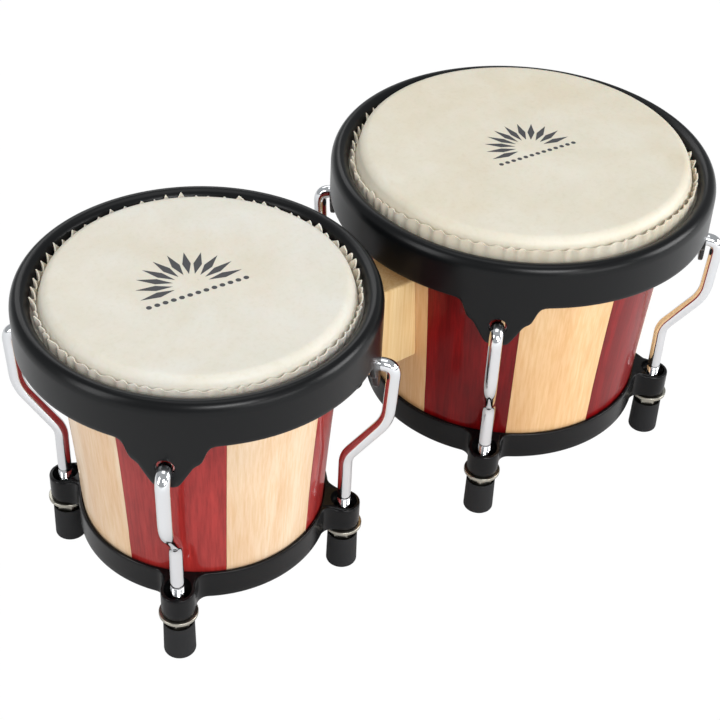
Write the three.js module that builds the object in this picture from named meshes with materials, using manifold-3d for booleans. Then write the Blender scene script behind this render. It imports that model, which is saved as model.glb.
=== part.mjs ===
// A pair of bongo drums: two stave shells joined by a wooden block, each with a hide head that a
// steel rim pulls down over the shell by four hooked tension rods.
// Millimetres, +Z up. The origin is on the floor, in the middle of the pair's length and width.
// The small drum is at -X and the large drum at +X. The players' side is -Y, called the front.
import * as THREE from "three";
import { mergeVertices } from "three/addons/utils/BufferGeometryUtils.js";
import Module from "manifold-3d";

const wasm = await Module();
wasm.setup();

// ---- driving dimensions -------------------------------------------------------------------------

const GAP = 0.3; // between pieces that touch
const RING_GAP = 0.6; // between rings that fit over each other, whose facets may not be in line
const ROUND = 40; // facets of every large ring
const DEGREE = Math.PI / 180;

const DRUMS = [
  {
    name: "small",
    rimRadius: 89,
    shellTopRadius: 74.2,
    shellFootRadius: 62,
    shellTop: 176,
    turn: 2.2,
    staves: 8,
    firstSeam: 22.5,
    redStave: 0,
  },
  {
    name: "large",
    rimRadius: 103.5,
    shellTopRadius: 88.2,
    shellFootRadius: 75.8,
    shellTop: 180.2,
    turn: -1.7,
    staves: 10,
    firstSeam: 15,
    redStave: 1,
  },
];
const AXIS_DISTANCE = 206.6;
const LENGTH = DRUMS[0].rimRadius + AXIS_DISTANCE + DRUMS[1].rimRadius;
DRUMS[0].x = DRUMS[0].rimRadius - LENGTH / 2;
DRUMS[1].x = LENGTH / 2 - DRUMS[1].rimRadius;
// Where the tension rods stand, as angles from +X.
const CORNERS = { back_right: 45, back_left: 135, front_left: 225, front_right: 315 };

const SHELL = { bottom: 31, wall: 8, linearShare: 0.7, edgeRadius: 4 };
const SKIN = { thickness: 1 };
const HOOP = { inset: 7.6, z: 160.5, radius: 3.9, frill: 1.6, frillTop: 170.5, frillInset: 11 };
const RIM = {
  skirtBottom: 150,
  wall: 2.6,
  archBottom: 167.5,
  archRise: 6.5,
  archOuterWidth: 4.3,
  archInnerWidth: 5.4,
  lipBottom: 165.4,
};
const TAB = { tip: 125.2, hole: 137, holeRadius: 4.4 };
const RING = {
  bottom: 28,
  top: 44.5,
  wall: 1.9,
  seatGap: 1.3,
  flange: 2.7,
  flangeWidth: 9.2,
  filletRadius: 6,
};
const BOSS = { radius: 8.45, boreRadius: 4.8, reach: { small: 73.9, large: 89.0 } };
const ROD = {
  radius: 3.5,
  bottom: 3,
  kneeHeight: 74,
  slant: 53,
  standOff: 6.9,
  crown: 136.5,
  hookInset: 8,
};
const WASHER = { outer: 9.9, bore: 4.1, height: 2 };
const NUT = { acrossFlats: 12, height: 7, bore: 3.9 };
const FOOT = {
  height: 20.5,
  bottomRadius: 8.2,
  topRadius: 7.9,
  edge: 0.8,
  cupRadius: 7.3,
  cupFloor: 15.5,
  sole: 2.6,
};
const BLOCK = { width: 27, bottom: 82, top: 134 };
const BOLT = {
  radius: 3,
  z: 108,
  headRadius: 6.5,
  headHeight: 5,
  washerRadius: 9,
  washerHeight: 1.6,
  seat: 2.2,
};

// ---- materials ----------------------------------------------------------------------------------

function material(color, roughness, metalness) {
  return new THREE.MeshStandardMaterial({ color, roughness, metalness });
}
const naturalWood = material(0xe6c79c, 0.3, 0);
const blockWood = material(0xe2c392, 0.55, 0);
const redWood = material(0x8a1f1f, 0.25, 0);
const hide = material(0xe8e2d0, 0.6, 0);
const blackPaint = material(0x17181a, 0.35, 0.2);
const chrome = material(0xdadde0, 0.08, 1);
const nickel = material(0xa8a59c, 0.3, 1);
const rubber = material(0x141414, 0.8, 0);
const bareSteel = material(0x8d8f92, 0.4, 1);

// ---- geometry helpers ---------------------------------------------------------------------------

// The outline's points, turned so that they run anticlockwise.
function anticlockwise(outline) {
  const points = outline.map(([r, z]) => new THREE.Vector2(r, z));
  return THREE.ShapeUtils.area(points) > 0 ? points : points.reverse();
}

// A ring or a solid of revolution about Z, from a closed outline of [radius, height] points.
function lathe(outline, segments = ROUND) {
  const points = anticlockwise(outline);
  return new THREE.LatheGeometry([...points, points[0]], segments).rotateX(Math.PI / 2);
}

// A sector of such a ring between two angles, closed by a flat face at each end.
function sector(outline, from, to, steps, endGap) {
  const points = anticlockwise(outline);
  const count = points.length;
  const positions = [];
  const index = [];
  for (let i = 0; i <= steps; i++) {
    const angle = (from + ((to - from) * i) / steps) * DEGREE;
    const shift = i === 0 ? endGap / 2 : i === steps ? -endGap / 2 : 0;
    for (const { x: r, y: z } of points) {
      const turn = angle + shift / r;
      positions.push(r * Math.cos(turn), r * Math.sin(turn), z);
    }
  }
  for (let i = 0; i < steps; i++) {
    for (let k = 0; k < count; k++) {
      const a = i * count + k;
      const b = i * count + ((k + 1) % count);
      index.push(a, a + count, b + count, a, b + count, b);
    }
  }
  const end = steps * count;
  for (const [a, b, c] of THREE.ShapeUtils.triangulateShape(points, [])) {
    index.push(a, b, c, end + a, end + c, end + b);
  }
  return new THREE.BufferGeometry()
    .setAttribute("position", new THREE.Float32BufferAttribute(positions, 3))
    .setIndex(index);
}

// Points [x, y] on an arc, ends included; angles in degrees.
function arc(x, y, radius, from, to, steps) {
  return Array.from({ length: steps + 1 }, (_, i) => {
    const angle = (from + ((to - from) * i) / steps) * DEGREE;
    return [x + radius * Math.cos(angle), y + radius * Math.sin(angle)];
  });
}

function shapeOf(points) {
  return new THREE.Shape(points.map(([x, y]) => new THREE.Vector2(x, y)));
}

function extrude(shape, bottom, top) {
  return new THREE.ExtrudeGeometry(shape, { depth: top - bottom, bevelEnabled: false, curveSegments: 3 })
    .translate(0, 0, bottom);
}

// A closed geometry as a solid that can be joined and cut.
function solid(geometry) {
  const bare = geometry.clone();
  bare.deleteAttribute("normal");
  bare.deleteAttribute("uv");
  const merged = mergeVertices(bare, 1e-3);
  const vertProperties = merged.attributes.position.array;
  const triVerts = new Uint32Array(merged.index.array);
  return new wasm.Manifold(new wasm.Mesh({ numProp: 3, vertProperties, triVerts }));
}

function geometryOf(manifold) {
  const { vertProperties, triVerts } = manifold.getMesh();
  return new THREE.BufferGeometry()
    .setAttribute("position", new THREE.BufferAttribute(vertProperties, 3))
    .setIndex(new THREE.BufferAttribute(triVerts, 1));
}

function mesh(name, geometry, look) {
  const made = new THREE.Mesh(geometry, look);
  made.name = name;
  return made;
}

// ---- shell, head and hoop -----------------------------------------------------------------------

// The shell's outer radius: nearly a cone, flaring a little more towards the head.
function shellRadius(drum, z) {
  const t = (z - SHELL.bottom) / (drum.shellTop - SHELL.bottom);
  const flare = SHELL.linearShare * t + (1 - SHELL.linearShare) * t ** 3;
  return drum.shellFootRadius + (drum.shellTopRadius - drum.shellFootRadius) * flare;
}

// The heights at which the shell's curve is faceted.
function shellHeights(drum, shares) {
  const edge = drum.shellTop - SHELL.edgeRadius;
  return shares.map((t) => SHELL.bottom + t * (edge - SHELL.bottom));
}

// One stave of the shell; the bolt's hole goes through the stave that it meets.
function staveGeometry(drum, number) {
  const heights = shellHeights(drum, [0, 0.4, 0.75, 1]);
  const edge = SHELL.edgeRadius;
  const edgeR = shellRadius(drum, heights.at(-1)) - edge;
  const outline = [
    ...heights.map((z) => [shellRadius(drum, z), z]),
    ...arc(edgeR, drum.shellTop - edge, edge, 0, 90, 2).slice(1),
    ...heights.toReversed().map((z) => [shellRadius(drum, z) - SHELL.wall, z]),
  ];
  const width = 360 / drum.staves;
  const from = drum.firstSeam + number * width;
  const geometry = sector(outline, from, from + width, ROUND / drum.staves, GAP);
  const towards = drum.x < 0 ? 360 : 180;
  const meetsBolt = from < towards && from + width > towards;
  return meetsBolt ? geometryOf(solid(geometry).subtract(boltHole(drum))) : geometry;
}

// The playing skin: a flat disc that turns down over the bearing edge.
function skinGeometry(drum) {
  const edge = SHELL.edgeRadius;
  const edgeR = shellRadius(drum, drum.shellTop - edge) - edge;
  const centreZ = drum.shellTop - edge;
  const inner = edge + RING_GAP;
  const outer = inner + SKIN.thickness;
  return lathe([
    [0, centreZ + inner],
    ...arc(edgeR, centreZ, inner, 90, 0, 3),
    ...arc(edgeR, centreZ, outer, 0, 90, 3),
    [0, centreZ + outer],
  ]);
}

// The hide-wrapped flesh hoop under the rim's shoulder. The hide's cut edge stands up inside the rim.
function fleshHoopGeometry(drum) {
  const { radius, z, frill, frillTop, frillInset } = HOOP;
  const centreR = drum.rimRadius - HOOP.inset;
  const frillR = drum.rimRadius - frillInset;
  return lathe([
    ...arc(centreR, z, radius, 180, 450, 6),
    [frillR + 1, z + radius + 0.6],
    [frillR, frillTop],
    [frillR - frill, frillTop],
    [frillR - frill, z + radius - 0.5],
  ]);
}

// ---- rim and its tabs ---------------------------------------------------------------------------

// Half of a tab's scalloped outline, from the skirt down to the tip, as [half width, height].
function tabOutline() {
  const path = new THREE.Path();
  path.moveTo(25, RIM.skirtBottom + 1);
  path.lineTo(25, RIM.skirtBottom);
  path.quadraticCurveTo(20, RIM.skirtBottom - 0.3, 18.6, RIM.skirtBottom - 4.6);
  path.lineTo(17.2, RIM.skirtBottom - 8.4);
  path.quadraticCurveTo(16, RIM.skirtBottom - 11.8, 12.6, RIM.skirtBottom - 12.8);
  path.lineTo(7.2, TAB.tip + 2.2);
  path.quadraticCurveTo(6, TAB.tip, 3.6, TAB.tip);
  return path.getPoints(2).map((p) => [p.x, p.y]);
}

function rimGeometry(drum) {
  const outer = drum.rimRadius;
  const { wall, archOuterWidth, archInnerWidth, archRise, archBottom, lipBottom } = RIM;
  const inner = outer - wall;
  const lip = outer - archOuterWidth - archInnerWidth;
  const arch = (inset, from, to, steps) =>
    arc(0, 0, 1, from, to, steps).map(([x, y]) => [
      outer - archOuterWidth + ((x > 0 ? archOuterWidth : archInnerWidth) - inset) * x,
      archBottom + (archRise - inset) * y,
    ]);
  let rim = solid(lathe([
    [inner, RIM.skirtBottom],
    [outer, RIM.skirtBottom],
    ...arch(0, 0, 180, 6),
    [lip, lipBottom],
    [lip + wall, lipBottom],
    ...arch(wall, 180, 0, 4),
  ]));
  const skirt = solid(lathe([
    [inner, TAB.tip - 1],
    [outer, TAB.tip - 1],
    [outer, RIM.skirtBottom + 1],
    [inner, RIM.skirtBottom + 1],
  ]));
  const half = tabOutline();
  const mirrored = half.map(([t, z]) => [-t, z]).toReversed();
  const tabShape = shapeOf([...mirrored, ...half]);
  const slug = new THREE.ExtrudeGeometry(tabShape, { depth: 20, bevelEnabled: false });
  const drill = new THREE.CylinderGeometry(TAB.holeRadius, TAB.holeRadius, 20, 12)
    .rotateX(Math.PI / 2)
    .translate(0, TAB.hole, 10);
  for (const degrees of Object.values(CORNERS)) {
    const facing = radialFrame((degrees + drum.turn) * DEGREE, outer - 12);
    rim = rim.add(skirt.intersect(solid(slug.clone().applyMatrix4(facing))));
    rim = rim.subtract(solid(drill.clone().applyMatrix4(facing)));
  }
  return geometryOf(rim);
}

// Turns drawings made as (along the rim, up, outwards) to face outwards at an angle.
function radialFrame(angle, radius) {
  const out = new THREE.Vector3(Math.cos(angle), Math.sin(angle), 0);
  const up = new THREE.Vector3(0, 0, 1);
  const along = new THREE.Vector3().crossVectors(up, out);
  return new THREE.Matrix4().makeBasis(along, up, out).setPosition(out.clone().multiplyScalar(radius));
}

// ---- bottom ring with its four lug bosses ---------------------------------------------------------

function ringGeometry(drum) {
  const seatR = drum.shellFootRadius + RING.seatGap;
  const outer = seatR + RING.wall;
  const reach = BOSS.reach[drum.name];
  const fillet = RING.filletRadius;
  const filletV = BOSS.radius + fillet;
  const filletU = Math.sqrt((outer + fillet) ** 2 - filletV ** 2);
  const spread = Math.atan2(filletV, filletU) / DEGREE;
  const outline = [];
  for (const degrees of Object.values(CORNERS)) {
    const middle = degrees + drum.turn;
    const local = [
      ...arc(filletU, -filletV, fillet, 180 - spread, 90, 3),
      ...arc(reach, 0, BOSS.radius, -90, 90, 8),
      ...arc(filletU, filletV, fillet, -90, spread - 180, 3),
    ];
    const cos = Math.cos(middle * DEGREE);
    const sin = Math.sin(middle * DEGREE);
    outline.push(...local.map(([u, v]) => [u * cos - v * sin, u * sin + v * cos]));
    outline.push(...arc(0, 0, outer, middle + spread, middle + 90 - spread, 7).slice(1, -1));
  }
  const shape = shapeOf(outline);
  for (const degrees of Object.values(CORNERS)) {
    const angle = (degrees + drum.turn) * DEGREE;
    const bore = arc(reach * Math.cos(angle), reach * Math.sin(angle), BOSS.boreRadius, 360, 30, 11);
    shape.holes.push(new THREE.Path(bore.map(([x, y]) => new THREE.Vector2(x, y))));
  }
  const flangeTop = RING.bottom + RING.flange;
  const throat = outer - RING.flangeWidth;
  const seat = lathe([
    [0, RING.bottom - 1],
    [throat, RING.bottom - 1],
    [throat, flangeTop],
    [seatR, flangeTop],
    [seatR, RING.top + 1],
    [0, RING.top + 1],
  ]);
  return geometryOf(solid(extrude(shape, RING.bottom, RING.top)).subtract(solid(seat)));
}

// ---- tension rod, washer, nut and foot ------------------------------------------------------------

// A polyline in one plane whose corners are rounded to the given radii.
function roundedPath(corners) {
  const path = new THREE.CurvePath();
  let last = corners[0].at;
  for (let i = 1; i < corners.length - 1; i++) {
    const { at, radius } = corners[i];
    const back = corners[i - 1].at.clone().sub(at).normalize();
    const ahead = corners[i + 1].at.clone().sub(at).normalize();
    const reach = radius / Math.tan(back.angleTo(ahead) / 2);
    const start = at.clone().addScaledVector(back, reach);
    const end = at.clone().addScaledVector(ahead, reach);
    path.add(new THREE.LineCurve3(last, start));
    path.add(new THREE.QuadraticBezierCurve3(start, at, end));
    last = end;
  }
  path.add(new THREE.LineCurve3(last, corners.at(-1).at));
  return path;
}

// The rod's centre line at a corner of the drum: up from the boss, out past the rim, over and in.
function rodCorners(drum) {
  const foot = BOSS.reach[drum.name];
  const side = drum.rimRadius + ROD.standOff;
  const shoulder = side - 1.8;
  const shoulderZ = ROD.kneeHeight + (shoulder - foot) * Math.tan(ROD.slant * DEGREE);
  const tip = drum.rimRadius - ROD.hookInset;
  const corner = (r, z, radius) => ({ at: new THREE.Vector3(r, 0, z), radius });
  return [
    corner(foot, ROD.bottom, 0),
    corner(foot, ROD.kneeHeight, 14),
    corner(shoulder, shoulderZ, 24),
    corner(side, ROD.crown, 6.5),
    corner(tip + 1, ROD.crown, 4),
    corner(tip - 0.6, ROD.crown - 7, 0),
  ];
}

function rodGeometry(drum) {
  // Each step along the rod is a point of its rounded path, with the straight stretches left long.
  const stations = rodCorners(drum);
  const points = roundedPath(stations).curves.flatMap((curve) =>
    curve.getPoints(curve.isLineCurve3 ? 1 : 3),
  );
  const line = points.filter((p, i) => i === 0 || p.distanceTo(points[i - 1]) > 0.01);
  const sides = 8;
  const positions = [];
  const index = [];
  line.forEach((p, i) => {
    const ahead = line[Math.min(i + 1, line.length - 1)];
    const behind = line[Math.max(i - 1, 0)];
    const tangent = ahead.clone().sub(behind).normalize();
    const across = new THREE.Vector3(0, 1, 0);
    const normal = new THREE.Vector3().crossVectors(across, tangent);
    for (let k = 0; k < sides; k++) {
      const angle = ((k + 0.5) / sides) * 2 * Math.PI;
      const at = p.clone()
        .addScaledVector(normal, ROD.radius * Math.cos(angle))
        .addScaledVector(across, ROD.radius * Math.sin(angle));
      positions.push(at.x, at.y, at.z);
    }
  });
  for (let i = 0; i < line.length - 1; i++) {
    for (let k = 0; k < sides; k++) {
      const a = i * sides + k;
      const b = i * sides + ((k + 1) % sides);
      index.push(a, b, b + sides, a, b + sides, a + sides);
    }
  }
  const end = (line.length - 1) * sides;
  for (let k = 1; k < sides - 1; k++) {
    index.push(0, k + 1, k, end, end + k, end + k + 1);
  }
  return new THREE.BufferGeometry()
    .setAttribute("position", new THREE.Float32BufferAttribute(positions, 3))
    .setIndex(index);
}

const NUT_TOP = RING.bottom - WASHER.height - 2 * GAP;

function washerGeometry() {
  const top = RING.bottom - GAP;
  const bottom = top - WASHER.height;
  const { bore, outer } = WASHER;
  return lathe([[bore, bottom], [outer, bottom], [outer, top], [bore, top]], 20);
}

function nutGeometry() {
  const corner = NUT.acrossFlats / 2 / Math.cos(Math.PI / 6);
  const shape = shapeOf(arc(0, 0, corner, 0, 300, 5));
  const bore = arc(0, 0, NUT.bore, 360, 30, 11);
  shape.holes.push(new THREE.Path(bore.map(([x, y]) => new THREE.Vector2(x, y))));
  return extrude(shape, NUT_TOP - NUT.height, NUT_TOP);
}

// A rubber foot: a cap with a blind hole for the rod's end and a cup round the nut's lower half.
function footGeometry() {
  const bore = ROD.radius + GAP;
  const { height, bottomRadius, topRadius, edge, cupRadius, cupFloor, sole } = FOOT;
  return lathe([
    [0, 0],
    [bottomRadius - edge, 0],
    [bottomRadius, edge],
    [topRadius, height],
    [cupRadius, height],
    [cupRadius, cupFloor],
    [bore, cupFloor],
    [bore, sole],
    [0, sole],
  ], 12);
}

// ---- centre block and its bolt --------------------------------------------------------------------

// Where the bolt's washer sits inside a drum, as a distance from the middle of the drum.
function boltSeat(drum) {
  return shellRadius(drum, BOLT.z) - SHELL.wall - BOLT.seat;
}

// The bolt's clearance hole through a drum's wall, in the drum's own frame.
function boltHole(drum) {
  const length = drum.rimRadius;
  const hole = new THREE.CylinderGeometry(BOLT.radius + 2 * GAP, BOLT.radius + 2 * GAP, length, 12);
  return solid(hole.rotateZ(Math.PI / 2).translate((-Math.sign(drum.x) * length) / 2, 0, BOLT.z));
}

function blockGeometry() {
  const height = BLOCK.top - BLOCK.bottom;
  const blank = new THREE.BoxGeometry(AXIS_DISTANCE, BLOCK.width, height)
    .translate((DRUMS[0].x + DRUMS[1].x) / 2, 0, BLOCK.bottom + height / 2);
  let block = solid(blank);
  for (const drum of DRUMS) {
    const outside = shellHeights(drum, [0, 0.4, 0.75, 1]).map((z) => [shellRadius(drum, z) + RING_GAP, z]);
    const body = solid(lathe([[0, SHELL.bottom], ...outside, [0, outside.at(-1)[1]]], 4 * ROUND));
    block = block.subtract(body.translate([drum.x, 0, 0]));
  }
  const hole = new THREE.CylinderGeometry(BOLT.radius + 2 * GAP, BOLT.radius + 2 * GAP, AXIS_DISTANCE, 12);
  const middle = (DRUMS[0].x + DRUMS[1].x) / 2;
  return geometryOf(block.subtract(solid(hole.rotateZ(Math.PI / 2).translate(middle, 0, BOLT.z))));
}

// The bolt with its washers, head and nut: from inside the small shell to inside the large one.
function boltGeometry() {
  const [small, large] = DRUMS;
  const left = small.x + boltSeat(small);
  const right = large.x - boltSeat(large);
  const { radius, headRadius, headHeight, washerRadius, washerHeight } = BOLT;
  const outline = [
    [0, left - washerHeight - headHeight],
    [headRadius, left - washerHeight - headHeight],
    [headRadius, left - washerHeight],
    [washerRadius, left - washerHeight],
    [washerRadius, left],
    [radius, left],
    [radius, right],
    [washerRadius, right],
    [washerRadius, right + washerHeight],
    [headRadius, right + washerHeight],
    [headRadius, right + washerHeight + headHeight],
    [0, right + washerHeight + headHeight],
  ];
  return lathe(outline, 12).rotateY(Math.PI / 2).translate(0, 0, BOLT.z);
}

// ---- assembly -----------------------------------------------------------------------------------

function drumGroup(drum) {
  const group = new THREE.Group();
  const { name } = drum;
  for (let number = 0; number < drum.staves; number++) {
    const wood = number % 2 === drum.redStave ? redWood : naturalWood;
    group.add(mesh(`${name}_stave_${number + 1}`, staveGeometry(drum, number), wood));
  }
  group.add(
    mesh(`${name}_head_skin`, skinGeometry(drum), hide),
    mesh(`${name}_flesh_hoop`, fleshHoopGeometry(drum), hide),
    mesh(`${name}_rim`, rimGeometry(drum), blackPaint),
    mesh(`${name}_bottom_ring`, ringGeometry(drum), blackPaint),
  );
  for (const [corner, degrees] of Object.entries(CORNERS)) {
    const angle = (degrees + drum.turn) * DEGREE;
    const rod = mesh(`${name}_rod_${corner}`, rodGeometry(drum), chrome);
    rod.rotation.z = angle;
    const hardware = [
      mesh(`${name}_washer_${corner}`, washerGeometry(), nickel),
      mesh(`${name}_nut_${corner}`, nutGeometry(), nickel),
      mesh(`${name}_foot_${corner}`, footGeometry(), rubber),
    ];
    const reach = BOSS.reach[name];
    for (const piece of hardware) {
      piece.position.set(reach * Math.cos(angle), reach * Math.sin(angle), 0);
      piece.rotation.z = angle;
    }
    group.add(rod, ...hardware);
  }
  group.position.x = drum.x;
  return group;
}

const bongos = new THREE.Group();
bongos.add(
  ...DRUMS.map(drumGroup),
  mesh("centre_block", blockGeometry(), blockWood),
  mesh("block_through_bolt", boltGeometry(), bareSteel),
);

export default bongos;
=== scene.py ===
"""A pair of bongo drums on a white studio floor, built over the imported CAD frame.

Metres in Blender; the dimensions below are millimetres in the CAD's own frame.
"""
import math

import bpy
import numpy as np
from mathutils import Matrix, Vector


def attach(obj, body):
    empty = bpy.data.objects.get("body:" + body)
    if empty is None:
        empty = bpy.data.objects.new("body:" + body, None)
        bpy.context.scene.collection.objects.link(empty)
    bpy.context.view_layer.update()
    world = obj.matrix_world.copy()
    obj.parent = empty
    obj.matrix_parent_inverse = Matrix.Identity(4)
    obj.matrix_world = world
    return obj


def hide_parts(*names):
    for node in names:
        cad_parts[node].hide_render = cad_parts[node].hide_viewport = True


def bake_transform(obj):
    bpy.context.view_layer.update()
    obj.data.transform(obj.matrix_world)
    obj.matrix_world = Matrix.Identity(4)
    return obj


MM = 0.001
SMOOTH_ANGLE = 38

# ---- driving dimensions -----------------------------------------------------------------------

DRUMS = {
    "small": dict(
        x=-110.55, rim=89.0, shell_top=74.2, shell_foot=62.0, top=176.0, turn=2.2,
        reach=73.9, staves=8, first_seam=22.5, red=0, side=1,
    ),
    "large": dict(
        x=96.05, rim=103.5, shell_top=88.2, shell_foot=75.8, top=180.2, turn=-1.7,
        reach=89.0, staves=10, first_seam=15.0, red=1, side=-1,
    ),
}
CORNERS = {"back_right": 45, "back_left": 135, "front_left": 225, "front_right": 315}

SHELL_BOTTOM = 31.0
SHELL_WALL = 8.0
BEARING_EDGE = 4.0
RIM = dict(
    skirt=150.0, wall=2.6, arch=167.5, rise=6.5, outer_width=4.3, inner_width=5.4, lip=165.6,
)
# Half of a tab, as (half width along the rim, height).
TAB_OUTLINE = [
    (0.0, 125.2), (3.6, 125.3), (5.4, 125.9), (6.8, 127.4), (9.6, 132.0),
    (12.4, 136.9), (13.8, 138.3), (15.6, 139.4), (16.8, 140.9), (18.0, 143.9),
    (19.2, 147.0), (20.6, 148.9), (22.6, 149.8), (25.0, 150.0),
]
TAB_HOLE = dict(z=137.0, radius=4.5, flare=0.6)
RING = dict(
    bottom=28.0, top=44.5, boss_top=42.3, wall=1.9, seat=1.3,
    flange=2.7, flange_width=9.2, fillet=6.0,
)
BOSS = dict(radius=8.55, bore=4.8, recess=6.9)
ROD = dict(
    radius=3.55, bottom=3.0, knee=74.0, slant=53.0, stand_off=6.9, crown=136.5, tip=8.0,
)
THREAD = dict(top=47.0, pitch=1.0, depth=0.42)
WASHER = dict(outer=9.9, bore=4.1, bottom=25.7, top=27.7)
NUT = dict(flats=12.0, bore=3.8, bottom=18.4, top=25.4)
FOOT = dict(height=20.5, bottom=8.2, top=7.9, cup=7.3, floor=15.5, bore=3.65, sole=2.6)
BLOCK = dict(width=27.0, bottom=82.0, top=134.0, edge=1.6)
HOOP = dict(inset=7.6, z=160.5, radius=3.9)
HIDE = dict(lift=0.5, under=0.35, over=0.5)
# The pleats are tall teeth at the sides and back, and low puffs where they face `facing` degrees.
FRILL = dict(low=169.6, tooth=5.2, inset=12.1, pitch=7.0, fold=0.7, lean=2.2)
FRILL_FRONT = dict(facing=-122.0, drop=3.9, tooth=1.5)

# turn is the print's angle about Z; its offset from the drum's middle and its size are per drum.
PRINT = dict(turn=-6.0, petals=11, dots=13, lift=1.04)
PRINTS = {"small": (27.5, (-3.8, 6.4)), "large": (25.5, (1.7, 4.1))}

CAMERA = dict(
    at=(-437.15, -529.8, 633.1), azimuth=-38.9, elevation=39.0, roll=2.93, lens=80.98, sensor=36,
)
FLOOR = dict(half=30000.0, z=-0.3)

# ---- start ------------------------------------------------------------------------------------

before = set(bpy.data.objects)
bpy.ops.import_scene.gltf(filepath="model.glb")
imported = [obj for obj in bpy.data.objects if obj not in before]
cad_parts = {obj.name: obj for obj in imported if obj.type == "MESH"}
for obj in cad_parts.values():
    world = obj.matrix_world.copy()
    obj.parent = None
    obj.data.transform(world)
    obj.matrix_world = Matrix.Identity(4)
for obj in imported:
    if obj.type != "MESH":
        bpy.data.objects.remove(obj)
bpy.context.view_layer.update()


# ---- mesh helpers -----------------------------------------------------------------------------


def new_object(name, vertices, faces, material, smooth_angle=SMOOTH_ANGLE):
    mesh = bpy.data.meshes.new(name)
    mesh.from_pydata([tuple(v) for v in np.asarray(vertices) * MM], [], faces)
    mesh.validate()
    mesh.shade_smooth()
    mesh.set_sharp_from_angle(angle=math.radians(smooth_angle))
    mesh.materials.append(material)
    made = bpy.data.objects.new(name, mesh)
    bpy.context.scene.collection.objects.link(made)
    return made


def grid_faces(rows, columns, close_rows=False, close_columns=True):
    """Quads over a grid of points, counted row by row; either way round can be closed."""
    faces = []
    for i in range(rows if close_rows else rows - 1):
        for j in range(columns if close_columns else columns - 1):
            here, above = i * columns, (i + 1) % rows * columns
            ahead = (j + 1) % columns
            faces.append((here + j, here + ahead, above + ahead, above + j))
    return faces


def grid_object(name, points, material, close_rows=False, close_columns=True, caps=False, **options):
    """An object from an array of points (rows, columns, 3), with its end rows capped if asked."""
    rows, columns = points.shape[:2]
    faces = grid_faces(rows, columns, close_rows, close_columns)
    if caps:
        faces.append(tuple(range(columns))[::-1])
        faces.append(tuple(range((rows - 1) * columns, rows * columns)))
    return new_object(name, points.reshape(-1, 3), faces, material, **options)


def rounded(outline, radii, steps=5):
    """A closed outline of (r, z) corners with each corner rounded to its radius."""
    points = []
    count = len(outline)
    for i, (corner, radius) in enumerate(zip(outline, radii)):
        here = Vector(corner)
        if not radius:
            points.append(tuple(here))
            continue
        back = Vector(outline[i - 1]) - here
        ahead = Vector(outline[(i + 1) % count]) - here
        most = 0.49 * min(back.length, ahead.length)
        reach = min(radius / math.tan(back.angle(ahead) / 2), most)
        start, end = here + back.normalized() * reach, here + ahead.normalized() * reach
        for k in range(steps + 1):
            t = k / steps
            points.append(tuple(start.lerp(here, t).lerp(here.lerp(end, t), t)))
    return points


def arc(x, y, radius, start, end, steps):
    angles = np.radians(np.linspace(start, end, steps + 1))
    return [(x + radius * math.cos(a), y + radius * math.sin(a)) for a in angles]


def revolve(name, outline, material, segments=96, at=(0, 0), **options):
    """A solid of revolution from a closed outline of (r, z) points."""
    angles = np.linspace(0, 2 * math.pi, segments, endpoint=False)
    rows = []
    for r, z in outline:
        rows.append([(at[0] + r * math.cos(a), at[1] + r * math.sin(a), z) for a in angles])
    return grid_object(name, np.array(rows), material, close_rows=True, **options)


def tube(name, line, radius, material, sides=28):
    """A round bar along points in one vertical plane, with radius a function of (index, angle)."""
    line = np.asarray(line, float)
    tangents = np.gradient(line, axis=0)
    tangents /= np.linalg.norm(tangents, axis=1)[:, None]
    furthest = line[np.argmax(np.hypot(*(line[:, :2] - line[0, :2]).T))] - line[0]
    across = np.cross([0, 0, 1], furthest / np.linalg.norm(furthest))
    across /= np.linalg.norm(across)
    angles = np.linspace(0, 2 * math.pi, sides, endpoint=False)
    rows = []
    for i, (p, t) in enumerate(zip(line, tangents)):
        normal = np.cross(across, t)
        rows.append([p + radius(i, a) * (math.cos(a) * normal + math.sin(a) * across) for a in angles])
    return grid_object(name, np.array(rows), material, caps=True)


def cut(target, cutters):
    """Cuts away the cutters, and removes them."""
    for cutter in cutters:
        modifier = target.modifiers.new("cut", "BOOLEAN")
        modifier.operation = "DIFFERENCE"
        modifier.solver = "EXACT"
        modifier.object = cutter
    graph = bpy.context.evaluated_depsgraph_get()
    mesh = bpy.data.meshes.new_from_object(target.evaluated_get(graph))
    target.modifiers.clear()
    target.data = mesh
    mesh.shade_smooth()
    mesh.set_sharp_from_angle(angle=math.radians(SMOOTH_ANGLE))
    for cutter in cutters:
        bpy.data.objects.remove(cutter)


# ---- materials --------------------------------------------------------------------------------


def new_material(name, color, roughness, metallic=0.0, **inputs):
    material = bpy.data.materials.new(name)
    material.use_nodes = True
    shader = material.node_tree.nodes["Principled BSDF"]
    shader.inputs["Base Color"].default_value = (*color, 1)
    shader.inputs["Roughness"].default_value = roughness
    shader.inputs["Metallic"].default_value = metallic
    for key, value in inputs.items():
        shader.inputs[key.replace("_", " ")].default_value = value
    return material


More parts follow.
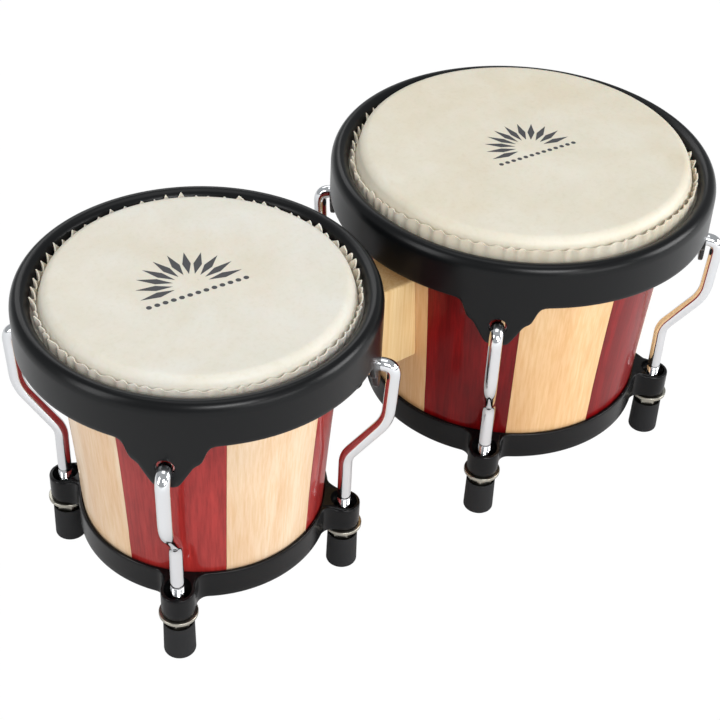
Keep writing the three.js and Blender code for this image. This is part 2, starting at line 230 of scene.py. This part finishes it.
class Nodes:
    """Short names for the node calls that the materials below use."""

    def __init__(self, material):
        self.tree = material.node_tree
        self.shader = self.tree.nodes["Principled BSDF"]

    def add(self, kind, **settings):
        node = self.tree.nodes.new(kind)
        for key, value in settings.items():
            setattr(node, key, value)
        return node

    def link(self, a, b):
        self.tree.links.new(a, b)

    def coordinates(self, scale, shift_by_piece=0.0):
        """The piece's own coordinates, stretched, and shifted by a different amount on each piece."""
        place = self.add("ShaderNodeTexCoord")
        mapping = self.add("ShaderNodeMapping")
        mapping.inputs["Scale"].default_value = scale
        self.link(place.outputs["Object"], mapping.inputs["Vector"])
        if shift_by_piece:
            info = self.add("ShaderNodeObjectInfo")
            scaled = self.math("MULTIPLY", info.outputs["Random"], shift_by_piece)
            joined = self.add("ShaderNodeCombineXYZ")
            for axis in "XYZ":
                self.link(scaled, joined.inputs[axis])
            self.link(joined.outputs[0], mapping.inputs["Location"])
        return mapping.outputs[0]

    def noise(self, vector, scale, detail=4.0, roughness=0.55, distortion=0.0):
        node = self.add("ShaderNodeTexNoise")
        self.link(vector, node.inputs["Vector"])
        node.inputs["Scale"].default_value = scale
        node.inputs["Detail"].default_value = detail
        node.inputs["Roughness"].default_value = roughness
        node.inputs["Distortion"].default_value = distortion
        return node.outputs["Fac"]

    def math(self, operation, a, b):
        node = self.add("ShaderNodeMath", operation=operation)
        self.link(a, node.inputs[0])
        if isinstance(b, (int, float)):
            node.inputs[1].default_value = b
        else:
            self.link(b, node.inputs[1])
        return node.outputs[0]

    def ramp(self, value, stops):
        node = self.add("ShaderNodeValToRGB")
        elements = node.color_ramp.elements
        while len(elements) < len(stops):
            elements.new(0.5)
        for element, (position, color) in zip(elements, stops):
            element.position = position
            element.color = (*color, 1)
        self.link(value, node.inputs[0])
        return node.outputs[0]

    def mix(self, blend, factor, a, b):
        node = self.add("ShaderNodeMix", data_type="RGBA", blend_type=blend)
        if isinstance(factor, (int, float)):
            node.inputs[0].default_value = factor
        else:
            self.link(factor, node.inputs[0])
        self.link(a, node.inputs[6])
        self.link(b, node.inputs[7])
        return node.outputs[2]

    def bump(self, height, strength, distance):
        node = self.add("ShaderNodeBump")
        node.inputs["Strength"].default_value = strength
        node.inputs["Distance"].default_value = distance
        self.link(height, node.inputs["Height"])
        self.link(node.outputs[0], self.shader.inputs["Normal"])


def wood(name, light, dark, streak, coat, roughness=0.5):
    """Straight-grained wood whose fibres run up the piece, under a coat of varnish."""
    varnish = dict(Coat_Weight=coat, Coat_Roughness=0.07, Specular_IOR_Level=0.12)
    material = new_material(name, light, roughness, **varnish)
    n = Nodes(material)
    broad = n.noise(n.coordinates((1, 1, 0.07), 3.0), 95, 3, 0.5, 0.5)
    fine = n.noise(n.coordinates((1, 1, 0.022), 5.0), 900, 3, 0.6)
    cloud = n.noise(n.coordinates((1, 1, 0.5), 9.0), 22, 2)
    base = n.ramp(broad, [(0.32, dark), (0.62, light)])
    fibres = n.ramp(fine, [(0.35, streak), (0.6, (1, 1, 1))])
    tone = n.ramp(cloud, [(0.3, (0.86, 0.84, 0.82)), (0.7, (1, 1, 1))])
    color = n.mix("MULTIPLY", 0.8, n.mix("MULTIPLY", 0.6, base, fibres), tone)
    n.link(color, n.shader.inputs["Base Color"])
    n.bump(fine, 0.08, 0.0002)
    return material


def painted(name, color, roughness, grain, strength, gloss=0.25):
    """Powder-coated steel with a very fine orange-peel surface."""
    material = new_material(name, color, roughness, Specular_IOR_Level=gloss)
    n = Nodes(material)
    n.bump(n.noise(n.coordinates((1, 1, 1)), grain, 2), strength, 0.0002)
    return material


def hide(name, light, dark):
    """Untanned hide: cream, slightly cloudy, a little translucent."""
    material = new_material(name, light, 0.5, Subsurface_Weight=0.12, Subsurface_Scale=0.004)
    n = Nodes(material)
    cloud = n.noise(n.coordinates((1, 1, 1), 4.0), 26, 5, 0.62, 0.4)
    fine = n.noise(n.coordinates((1, 1, 1), 2.0), 420, 3, 0.6)
    stain = n.noise(n.coordinates((1, 1, 1), 6.0), 11, 3, 0.5, 0.8)
    color = n.ramp(cloud, [(0.3, dark), (0.68, light)])
    warm = n.ramp(stain, [(0.42, (1, 1, 1)), (0.72, (0.97, 0.92, 0.84))])
    color = n.mix("MULTIPLY", 0.8, color, warm)
    fleck = n.ramp(fine, [(0.25, (0.93, 0.91, 0.87)), (0.5, (1, 1, 1))])
    n.link(n.mix("MULTIPLY", 0.6, color, fleck), n.shader.inputs["Base Color"])
    n.bump(fine, 0.12, 0.0003)
    return material


LOOK = {
    "natural_small": wood(
        "natural wood small", (0.80, 0.62, 0.44), (0.74, 0.51, 0.32), (0.88, 0.78, 0.62), 0.5,
    ),
    "natural_large": wood(
        "natural wood large", (0.85, 0.58, 0.32), (0.78, 0.48, 0.24), (0.88, 0.76, 0.58), 0.4,
    ),
    "red_small": wood(
        "red wood small", (0.40, 0.030, 0.026), (0.27, 0.014, 0.013), (0.55, 0.35, 0.33), 0.5, 0.4,
    ),
    "red_large": wood(
        "red wood large", (0.24, 0.004, 0.005), (0.13, 0.002, 0.003), (0.55, 0.35, 0.33), 0.22, 0.4,
    ),
    "block": wood("block wood", (0.93, 0.70, 0.38), (0.86, 0.60, 0.30), (0.85, 0.74, 0.55), 0.1),
    "rim": painted("black steel rim", (0.0036, 0.0039, 0.0044), 0.28, 2600, 0.04, 0.22),
    "ring": painted("black steel ring", (0.004, 0.004, 0.0045), 0.24, 1400, 0.06, 0.2),
    "chrome": new_material("chrome", (0.80, 0.81, 0.83), 0.05, 1.0),
    "zinc": new_material("zinc", (0.46, 0.44, 0.38), 0.28, 1.0),
    "steel": new_material("steel", (0.45, 0.45, 0.46), 0.35, 1.0),
    "rubber": painted("rubber", (0.013, 0.013, 0.014), 0.62, 1500, 0.10),
    "hide_small": hide("hide small", (0.71, 0.68, 0.62), (0.65, 0.61, 0.52)),
    "hide_large": hide("hide large", (0.71, 0.66, 0.56), (0.65, 0.59, 0.47)),
    "ink": new_material("ink", (0.045, 0.045, 0.05), 0.6),
}

# ---- shells -----------------------------------------------------------------------------------


def shell_radius(drum, z):
    t = (z - SHELL_BOTTOM) / (drum["top"] - SHELL_BOTTOM)
    return drum["shell_foot"] + (drum["shell_top"] - drum["shell_foot"]) * (0.7 * t + 0.3 * t**3)


def make_stave(name, drum, number):
    """One stave, with its outline swept round and its long edges very slightly eased."""
    edge = BEARING_EDGE
    heights = np.linspace(SHELL_BOTTOM + 0.6, drum["top"] - edge, 22)
    edge_r = shell_radius(drum, heights[-1]) - edge
    outline = [(shell_radius(drum, z), z) for z in heights]
    outline += arc(edge_r, drum["top"] - edge, edge, 0, 90, 8)[1:]
    outline += [(shell_radius(drum, z) - SHELL_WALL, z) for z in heights[::-1]]
    foot = shell_radius(drum, SHELL_BOTTOM)
    outline += [(foot - SHELL_WALL + 0.6, SHELL_BOTTOM), (foot - 0.6, SHELL_BOTTOM)]
    width = 360 / drum["staves"]
    start = math.radians(drum["first_seam"] + number * width)
    end = start + math.radians(width)
    columns = []
    radii = [r for r, z in outline]
    middle = (min(radii) + max(radii)) / 2
    eased = [(0.03, 0.12), (0.12, 0.03)]
    for shift, pull in eased:
        columns.append([(r - math.copysign(pull, r - middle), start + shift / r, z) for r, z in outline])
    for a in np.linspace(start, end, 24)[1:-1]:
        columns.append([(r, a, z) for r, z in outline])
    for shift, pull in eased[::-1]:
        columns.append([(r - math.copysign(pull, r - middle), end - shift / r, z) for r, z in outline])
    polar = np.array(columns)
    x = drum["x"] + polar[..., 0] * np.cos(polar[..., 1])
    y = polar[..., 0] * np.sin(polar[..., 1])
    points = np.stack([x, y, polar[..., 2]], axis=-1)
    kind = "red" if number % 2 == drum["red"] else "natural"
    stave = grid_object(f"{name}_stave_{number + 1}_wood", points, LOOK[f"{kind}_{name}"], caps=True)
    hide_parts(f"{name}_stave_{number + 1}")
    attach(stave, "shells")


def make_block():
    """The block, with rounded long edges and ends hollowed to sit on the shells."""
    small, large = DRUMS["small"], DRUMS["large"]
    half_y, half_z = BLOCK["width"] / 2, (BLOCK["top"] - BLOCK["bottom"]) / 2
    middle_z = (BLOCK["top"] + BLOCK["bottom"]) / 2
    corners = [(-half_y, -half_z), (half_y, -half_z), (half_y, half_z), (-half_y, half_z)]
    dense = []
    section = rounded(corners, [BLOCK["edge"]] * 4, 6)
    for i, (y, z) in enumerate(section):
        next_y, next_z = section[(i + 1) % len(section)]
        steps = max(1, round(math.hypot(next_y - y, next_z - z) / 3))
        dense += [(y + (next_y - y) * k / steps, z + (next_z - z) * k / steps) for k in range(steps)]
    section = np.array(dense)

    def end(scale, drum, side):
        y, z = section[:, 0] * scale, section[:, 1] * scale + middle_z
        radius = np.array([shell_radius(drum, h) for h in z]) + 0.15
        return np.stack([drum["x"] + side * np.sqrt(radius**2 - y**2), y, z], axis=-1)

    scales = [0.02, 0.25, 0.5, 0.75, 0.97]
    rows = [end(s, small, 1) for s in scales]
    left, right = end(1, small, 1), end(1, large, -1)
    rows += [left + (right - left) * t for t in (0.01, 0.25, 0.5, 0.75, 0.99)]
    rows += [end(s, large, -1) for s in scales[::-1]]
    block = grid_object("block_wood", np.array(rows)[::-1], LOOK["block"], caps=True)
    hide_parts("centre_block")
    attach(block, "shells")


# ---- rims -------------------------------------------------------------------------------------


def make_rim(name, drum):
    """A pressed steel rim: rounded shoulder, straight skirt, and four scalloped tabs with rod holes."""
    outer, wall, arch_z = drum["rim"], RIM["wall"], RIM["arch"]
    crest_r = outer - RIM["outer_width"]
    widths, heights = np.array(TAB_OUTLINE).T

    def arch(inset, start, end, steps):
        points = []
        for x, y in arc(0, 0, 1, start, end, steps):
            width = RIM["outer_width"] if x > 0 else RIM["inner_width"]
            points.append((crest_r + (width - inset) * x, arch_z + (RIM["rise"] - inset) * y))
        return points

    lip_r = crest_r - RIM["inner_width"]
    over = [(lip_r + wall - 0.5, RIM["lip"]), (lip_r + 0.5, RIM["lip"]), (lip_r, RIM["lip"] + 0.5)]
    over += arch(0, 180, 0, 36)
    under = arch(wall, 0, 180, 20) + [(lip_r + wall, RIM["lip"] + 0.5)]
    angles = np.radians(np.arange(0, 360, 0.25))
    shares = np.linspace(0, 1, 11)[1:]
    columns = []
    for angle in angles:
        away = (math.degrees(angle) - drum["turn"]) % 90 - 45
        low = np.interp(abs(math.radians(away)) * outer, widths, heights, right=RIM["skirt"])
        column = list(over)
        column += [(outer, arch_z + (low + 0.9 - arch_z) * s) for s in shares]
        column += [(outer - 0.25, low + 0.25), (outer - 0.9, low), (outer - wall + 0.7, low)]
        column += [(outer - wall + 0.15, low + 0.2)]
        column += [(outer - wall, arch_z + (low + 0.8 - arch_z) * s) for s in shares[::-1]]
        column += under
        columns.append([(drum["x"] + r * math.cos(angle), r * math.sin(angle), z) for r, z in column])
    points = np.array(columns)
    rim = grid_object(f"{name}_rim_steel", points, LOOK["rim"], close_rows=True, smooth_angle=50)
    cut(rim, [rod_hole(drum, degrees) for degrees in CORNERS.values()])
    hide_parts(f"{name}_rim")
    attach(rim, f"{name}_tuning_set")


def rod_hole(drum, degrees):
    """A cutter for one tab's hole, which flares a little at the rim's outer face."""
    hole_r, flare = TAB_HOLE["radius"], TAB_HOLE["flare"]
    angle = math.radians(degrees + drum["turn"])
    out = np.array([math.cos(angle), math.sin(angle), 0])
    across = np.array([-math.sin(angle), math.cos(angle), 0])
    up = np.array([0, 0, 1])
    sections = [(-9, 0), (0.1 - RIM["wall"], 0), (-0.35, 0), (0.25, flare), (5, flare + 4.75)]
    rows = []
    for reach, wider in sections:
        centre = np.array([drum["x"], 0, TAB_HOLE["z"]]) + out * (drum["rim"] + reach)
        turns = np.linspace(0, 2 * math.pi, 48, endpoint=False)
        rows.append([centre + (hole_r + wider) * (math.cos(t) * across + math.sin(t) * up) for t in turns])
    return grid_object("hole", np.array(rows), LOOK["rim"], caps=True)


# ---- bottom rings -----------------------------------------------------------------------------


def ring_plan(drum):
    """The ring's outline from above: a circle with four bosses, joined by fillets."""
    outer = drum["shell_foot"] + RING["seat"] + RING["wall"]
    fillet, radius, reach = RING["fillet"], BOSS["radius"], drum["reach"]
    v = radius + fillet
    u = math.sqrt((outer + fillet) ** 2 - v**2)
    spread = math.degrees(math.atan2(v, u))
    outline = []
    for degrees in CORNERS.values():
        middle = degrees + drum["turn"]
        local = arc(u, -v, fillet, 180 - spread, 90, 10)
        local += [(u + (reach - u) * k / 3, -radius) for k in (1, 2)]
        local += arc(reach, 0, radius, -90, 90, 36)
        local += [(reach + (u - reach) * k / 3, radius) for k in (1, 2)]
        local += arc(u, v, fillet, -90, spread - 180, 10)
        c, s = math.cos(math.radians(middle)), math.sin(math.radians(middle))
        outline += [(p * c - q * s, p * s + q * c) for p, q in local]
        outline += arc(0, 0, outer, middle + spread, middle + 90 - spread, 48)[1:-1]
    return np.array(outline), outer


def make_ring(name, drum):
    """The steel bottom ring: a band and an inward flange under the shell, and four bosses for the rods."""
    plan, outer = ring_plan(drum)
    ahead = np.roll(plan, -1, axis=0) - np.roll(plan, 1, axis=0)
    normals = np.stack([ahead[:, 1], -ahead[:, 0]], axis=-1)
    normals /= np.linalg.norm(normals, axis=1)[:, None]
    radii = np.hypot(*plan.T)
    unit = plan / radii[:, None]
    drop = np.clip((radii - outer - 1.5) / 6, 0, 1)
    drop = drop * drop * (3 - 2 * drop) * (RING["top"] - RING["boss_top"])
    seat = drum["shell_foot"] + RING["seat"]
    rows = []

    def row(flat, z):
        rows.append(np.stack([drum["x"] + flat[:, 0], flat[:, 1], z + np.zeros(len(flat))], axis=-1))

    for back, up in [(1.4, 0), (0.5, 0.15), (0.12, 0.55), (0, 1.3)]:
        row(plan - normals * back, RING["bottom"] + up)
    for share in (0.3, 0.6, 0.85):
        row(plan, RING["bottom"] + share * (RING["top"] - drop - RING["bottom"]))
    for back, down in [(0, 1.0), (0.1, 0.45), (0.4, 0.1), (0.9, 0)]:
        row(plan - normals * back, RING["top"] - drop - down)
    for share in (0.3, 0.6, 0.85):
        flat = (plan - normals * 0.9) * (1 - share) + unit * (seat + 0.35) * share
        level = RING["top"] - drop * (1 - share) ** 1.5
        row(flat, level)
    row(unit * (seat + 0.3), RING["top"])
    row(unit * seat, RING["top"] - 0.4)
    row(unit * seat, RING["bottom"] + RING["flange"])
    throat = outer - RING["flange_width"]
    row(unit * (throat + 0.4), RING["bottom"] + RING["flange"])
    row(unit * throat, RING["bottom"] + RING["flange"] - 0.4)
    row(unit * throat, RING["bottom"] + 0.4)
    row(unit * (throat + 0.4), RING["bottom"])
    ring = grid_object(f"{name}_bottom_ring_steel", np.array(rows), LOOK["ring"], close_rows=True)
    cutters = []
    bore, recess = BOSS["bore"], BOSS["recess"]
    profile = [(0.01, 20), (bore, 20), (bore, 37), (bore + 0.5, 38.6)]
    profile += [(recess - 0.7, 39.6), (recess, 40.8), (recess + 0.1, 50), (0.01, 50)]
    for degrees in CORNERS.values():
        cutters.append(revolve("bore", profile, LOOK["ring"], 48, lug(drum, degrees)))
    cut(ring, cutters)
    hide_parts(f"{name}_bottom_ring")
    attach(ring, "shells")


def lug(drum, degrees):
    angle = math.radians(degrees + drum["turn"])
    return drum["x"] + drum["reach"] * math.cos(angle), drum["reach"] * math.sin(angle)


# ---- tension hardware -------------------------------------------------------------------------


def rod_line(drum):
    """The rod's centre line as (r, z): up from the foot, out past the rim, over its hook and in."""
    foot, side = drum["reach"], drum["rim"] + ROD["stand_off"]
    shoulder = side - 1.8
    shoulder_z = ROD["knee"] + (shoulder - foot) * math.tan(math.radians(ROD["slant"]))
    tip = drum["rim"] - ROD["tip"]
    crown = ROD["crown"]
    corners = [
        ((foot, ROD["bottom"]), 0), ((foot, ROD["knee"]), 14), ((shoulder, shoulder_z), 24),
        ((side, crown), 6.5), ((tip + 1, crown), 4), ((tip - 0.6, crown - 7), 0),
    ]
    last = Vector(corners[0][0])
    line = [tuple(last)]
    for i in range(1, len(corners)):
        here = Vector(corners[i][0])
        if i == len(corners) - 1:
            line += straight(last, here, 1.0)
            break
        back = (Vector(corners[i - 1][0]) - here).normalized()
        ahead = (Vector(corners[i + 1][0]) - here).normalized()
        reach = corners[i][1] / math.tan(back.angle(ahead) / 2)
        start, end = here + back * reach, here + ahead * reach
        line += straight(last, start, 0.125 if i == 1 else 1.5)
        for k in range(1, 15):
            t = k / 14
            line.append(tuple(start.lerp(here, t).lerp(here.lerp(end, t), t)))
        last = end
    return line


def straight(a, b, step):
    count = max(1, round((b - a).length / step))
    return [tuple(a.lerp(b, k / count)) for k in range(1, count + 1)]


def make_rod(name, drum, corner, degrees):
    """A bent chrome rod, threaded at its foot; its plain straight part keeps every eighth point."""
    fine = []
    for i, (r, z) in enumerate(rod_line(drum)):
        if z < THREAD["top"] + 1 or r > drum["reach"] + 0.001 or i % 8 == 0:
            fine.append((r, z))
    angle = math.radians(degrees + drum["turn"])
    spots = [(drum["x"] + r * math.cos(angle), r * math.sin(angle), z) for r, z in fine]
    threaded = len([1 for r, z in fine if z < THREAD["top"] and abs(r - drum["reach"]) < 0.001])
    count = len(fine)

    def radius(i, a):
        size = ROD["radius"]
        z = fine[i][1]
        if i < threaded:
            turn = (z / THREAD["pitch"] + a / (2 * math.pi)) % 1
            run_out = min(1, (THREAD["top"] - z) / 2)
            size -= THREAD["depth"] * abs(2 * turn - 1) * run_out
        for rank, pull in ((0, 0.9), (1, 0.55), (2, 0.3), (3, 0.12)):
            if i == rank or i == count - 1 - rank:
                size -= pull
        return size

    rod = tube(f"{name}_rod_{corner}_chrome", spots, radius, LOOK["chrome"])
    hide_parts(f"{name}_rod_{corner}")
    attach(rod, f"{name}_tuning_set")


def make_washer(name, drum, corner, degrees):
    w = WASHER
    outline = [(w["bore"], w["bottom"]), (w["outer"], w["bottom"])]
    outline += [(w["outer"], w["top"]), (w["bore"], w["top"])]
    outline = rounded(outline, [0.2, 0.5, 0.5, 0.2], 4)
    washer = revolve(f"{name}_washer_{corner}_zinc", outline, LOOK["zinc"], 64, lug(drum, degrees))
    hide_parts(f"{name}_washer_{corner}")
    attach(washer, "shells")


def make_nut(name, drum, corner, degrees):
    """A hexagon nut with turned chamfers at both faces."""
    half = NUT["flats"] / 2
    across = half / math.cos(math.pi / 6)
    at = lug(drum, degrees)
    angles = np.linspace(0, 2 * math.pi, 144, endpoint=False)
    phase = math.radians(degrees)
    hexagon = half / np.cos((angles - phase) % (math.pi / 3) - math.pi / 6)
    low, high = NUT["bottom"], NUT["top"]
    drop = (across - half) * 0.58 + 0.25
    levels = [(NUT["bore"] + 0.5, low), (half - 0.15, low)]
    levels += [(half + (across - half) * t, low + drop * t) for t in (0.25, 0.5, 0.75, 1.0)]
    levels += [(half + (across - half) * t, high - drop * t) for t in (1.0, 0.75, 0.5, 0.25)]
    levels += [(half - 0.15, high), (NUT["bore"] + 0.5, high)]
    levels += [(NUT["bore"], high - 0.5), (NUT["bore"], low + 0.5)]
    rows = []
    for limit, z in levels:
        radius = np.minimum(hexagon, limit)
        x, y = at[0] + radius * np.cos(angles), at[1] + radius * np.sin(angles)
        rows.append(np.stack([x, y, z + 0 * angles], -1))
    points = np.array(rows)
    nut = grid_object(f"{name}_nut_{corner}_zinc", points, LOOK["zinc"], close_rows=True, smooth_angle=25)
    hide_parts(f"{name}_nut_{corner}")
    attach(nut, f"{name}_nut_{corner}")


def make_foot(name, drum, corner, degrees):
    f = FOOT
    outline = [(0.01, 0), (f["bottom"], 0), (f["top"], f["height"]), (f["cup"], f["height"])]
    outline += [(f["cup"], f["floor"]), (f["bore"], f["floor"]), (f["bore"], f["sole"]), (0.01, f["sole"])]
    outline = rounded(outline, [0, 1.2, 0.28, 0.28, 0.6, 0.3, 0.2, 0], 5)
    foot = revolve(f"{name}_foot_{corner}_rubber", outline, LOOK["rubber"], 72, lug(drum, degrees))
    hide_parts(f"{name}_foot_{corner}")
    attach(foot, f"{name}_tuning_set")


# ---- hides ------------------------------------------------------------------------------------


def hide_section(drum):
    """Half of the stretched hide's section, as (r, z) from its middle down to the flesh hoop."""
    edge = BEARING_EDGE
    edge_r = shell_radius(drum, drum["top"] - edge) - edge
    top = drum["top"] - edge
    lift = edge + HIDE["lift"]
    hoop_r = drum["rim"] - HOOP["inset"] - HOOP["radius"] + 0.2
    flat = [(r, top + lift) for r in np.linspace(0.2, edge_r, 30)]
    turn = arc(edge_r, top, lift, 90, 12, 12)[1:]
    end = np.array([hoop_r, HOOP["z"] + 1.5])
    slope = [tuple(np.array(turn[-1]) + (end - np.array(turn[-1])) * t) for t in (0.25, 0.5, 0.75, 1)]
    return flat + turn + slope


def make_hide(name, drum):
    """The hide over the shell, from its middle to the flesh hoop, as a skin 0.85 mm thick."""
    outside = np.array(hide_section(drum))
    ahead = np.gradient(outside, axis=0)
    normals = np.stack([-ahead[:, 1], ahead[:, 0]], -1)
    normals /= np.linalg.norm(normals, axis=1)[:, None]
    under, over = outside - normals * HIDE["under"], outside + normals * HIDE["over"]
    section = [tuple(p) for p in np.vstack([under, over[::-1]])]
    look = LOOK[f"hide_{name}"]
    skin = revolve(f"{name}_playing_hide", section, look, 240, (drum["x"], 0))
    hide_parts(f"{name}_head_skin")
    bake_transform(skin)


def make_collar(name, drum):
    """The hide wrapped round the flesh hoop, its cut edge standing up in uneven pleats inside the rim."""
    generator = np.random.default_rng(11 if name == "small" else 12)
    centre_r, centre_z = drum["rim"] - HOOP["inset"], HOOP["z"]
    frill_r = drum["rim"] - FRILL["inset"]
    pleats = round(2 * math.pi * frill_r / FRILL["pitch"])
    widths = generator.uniform(0.65, 1.35, pleats)
    starts = np.concatenate([[0], np.cumsum(widths)]) / widths.sum() * 2 * math.pi
    lifts = generator.uniform(0.55, 1.0, pleats)
    leans = generator.uniform(-0.6, 0.6, pleats)
    count = pleats * 14
    angles = np.linspace(0, 2 * math.pi, count, endpoint=False)
    which = np.searchsorted(starts, angles, side="right") - 1
    local = (angles - starts[which]) / (starts[which + 1] - starts[which])
    peak = 0.5 + 0.25 * leans[which]
    tooth = np.where(local < peak, local / peak, (1 - local) / (1 - peak))
    tooth = tooth * lifts[which]
    front = 0.5 + 0.5 * np.cos(angles - math.radians(FRILL_FRONT["facing"]))
    front = np.clip((front - 0.55) / 0.3, 0, 1)
    fold = np.sin(local * 2 * math.pi) * FRILL["fold"] * (0.5 + 0.7 * lifts[which])
    height = FRILL["tooth"] + (FRILL_FRONT["tooth"] - FRILL["tooth"]) * front
    front_low = drum["top"] - FRILL_FRONT["drop"]
    rise = FRILL["low"] + (front_low - FRILL["low"]) * front + height * tooth
    lean = FRILL["lean"] * tooth * (1 - 0.7 * front)
    rows = []

    def row(r, z):
        rows.append(np.stack([drum["x"] + r * np.cos(angles), r * np.sin(angles), z + 0 * angles], -1))

    hoop = arc(centre_r, centre_z, HOOP["radius"], 165, 432, 14)
    for r, z in hoop:
        row(r + 0 * angles, z)
    base = centre_z + HOOP["radius"] + 0.2
    for share in (0.2, 0.45, 0.7, 0.9, 1.0):
        row(frill_r + 1.2 * (1 - share) + fold * share + lean * share, base + (rise - base) * share)
    for share in (1.0, 0.9, 0.7, 0.45, 0.2):
        thin = 1.1 - 0.4 * share
        out = frill_r - thin + 1.1 * (1 - share) + fold * share + lean * share
        row(out, base + (rise - base) * share - 0.1)
    points, look = np.array(rows), LOOK[f"hide_{name}"]
    collar = grid_object(f"{name}_hide_collar", points, look, close_rows=True, smooth_angle=60)
    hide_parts(f"{name}_flesh_hoop")
    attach(collar, f"{name}_tuning_set")


def make_print(name, drum, size, shift):
    """A plain printed fan of petals over a line of dots, on the hide."""
    level = drum["top"] + PRINT["lift"]
    vertices, faces = [], []
    facing = math.radians(PRINT["turn"])
    centre_x, centre_y = drum["x"] + shift[0], shift[1]

    def polygon(points):
        start = len(vertices)
        for u, v in points:
            v -= 0.3 * size
            x = centre_x + u * math.cos(facing) - v * math.sin(facing)
            y = centre_y + u * math.sin(facing) + v * math.cos(facing)
            vertices.append((x, y, level))
        faces.append(tuple(range(start, len(vertices))))

    for k in range(PRINT["petals"]):
        a = math.pi * k / (PRINT["petals"] - 1)
        out = np.array([math.cos(a), math.sin(a)])
        side = np.array([-out[1], out[0]])
        shape = [0.32 * out, 0.62 * out - 0.075 * side, 0.97 * out, 0.62 * out + 0.075 * side]
        polygon([tuple(size * p) for p in shape])
    for k in range(PRINT["dots"]):
        centre_u = (k - (PRINT["dots"] - 1) / 2) * size * 2 / PRINT["dots"]
        polygon(arc(centre_u, -size * 0.25, size * 0.05, 0, 340, 17))
    mark = new_object(f"{name}_print", vertices, faces, LOOK["ink"])
    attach(mark, "shells")


# ---- build ------------------------------------------------------------------------------------

for name, drum in DRUMS.items():
    for number in range(drum["staves"]):
        make_stave(name, drum, number)
    make_rim(name, drum)
    make_ring(name, drum)
    make_hide(name, drum)
    make_collar(name, drum)
    for corner, degrees in CORNERS.items():
        make_rod(name, drum, corner, degrees)
        make_washer(name, drum, corner, degrees)
        make_nut(name, drum, corner, degrees)
        make_foot(name, drum, corner, degrees)
make_block()
for name, (size, shift) in PRINTS.items():
    make_print(name, DRUMS[name], size, shift)
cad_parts["block_through_bolt"].material_slots[0].material = LOOK["steel"]

# ---- studio -----------------------------------------------------------------------------------


def make_camera():
    a, e, r = (math.radians(CAMERA[key]) for key in ("azimuth", "elevation", "roll"))
    right = Vector((math.cos(a), math.sin(a), 0))
    back = Vector((math.sin(a) * math.cos(e), -math.cos(a) * math.cos(e), math.sin(e)))
    up = back.cross(right)
    tilted_right = math.cos(r) * right + math.sin(r) * up
    tilted_up = -math.sin(r) * right + math.cos(r) * up
    data = bpy.data.cameras.new("camera")
    data.lens = CAMERA["lens"]
    data.sensor_width = CAMERA["sensor"]
    camera = bpy.data.objects.new("camera", data)
    turned = Matrix((tilted_right, tilted_up, back)).transposed().to_4x4()
    camera.matrix_world = Matrix.Translation(Vector(CAMERA["at"]) * MM) @ turned
    bpy.context.scene.collection.objects.link(camera)
    bpy.context.scene.camera = camera


def make_light(name, at, size, power, towards=(0, 0, 0.09)):
    data = bpy.data.lights.new(name, "AREA")
    data.shape = "RECTANGLE"
    data.size, data.size_y = size
    data.energy = power
    light = bpy.data.objects.new(name, data)
    light.location = at
    light.rotation_euler = (Vector(towards) - Vector(at)).to_track_quat("-Z", "Y").to_euler()
    bpy.context.scene.collection.objects.link(light)


def make_floor(name, material, seen_by_camera):
    """A floor that is either what the camera sees or what the drums reflect and cast shadows on."""
    half, z = FLOOR["half"], FLOOR["z"]
    corners = [(-half, -half, z), (half, -half, z), (half, half, z), (-half, half, z)]
    floor = new_object(name, corners, [(0, 1, 2, 3)], material)
    floor.visible_camera = seen_by_camera
    floor.visible_diffuse = not seen_by_camera
    floor.visible_glossy = not seen_by_camera
    floor.visible_shadow = not seen_by_camera


def make_world():
    world = bpy.data.worlds.new("studio")
    world.use_nodes = True
    background = world.node_tree.nodes["Background"]
    background.inputs["Color"].default_value = (0.95, 0.98, 1.0, 1)
    background.inputs["Strength"].default_value = 0.42
    bpy.context.scene.world = world


glow = dict(Emission_Color=(1, 1, 1, 1), Emission_Strength=1.0)
white = new_material("white backdrop", (0, 0, 0), 1.0, **glow)
paper = new_material("white paper", (0.8, 0.8, 0.8), 0.9)
make_world()
make_floor("backdrop", white, True)
make_floor("floor", paper, False)
make_light("overhead", (0.1, 0.1, 1.7), (1.2, 1.0), 5)
make_light("front left key", (-0.62, -1.75, 1.3), (0.9, 0.55), 22)
make_light("front fill", (0.15, -2.0, 0.5), (1.3, 0.5), 7)
make_light("front right box", (1.45, -1.15, 0.72), (0.9, 0.8), 19)
make_light("left strip", (-1.7, 0.1, 0.8), (0.6, 1.2), 10)
make_light("back box", (0.5, 1.7, 1.4), (1.6, 0.6), 7)
make_camera()
bpy.context.scene.view_settings.view_transform = "Standard"
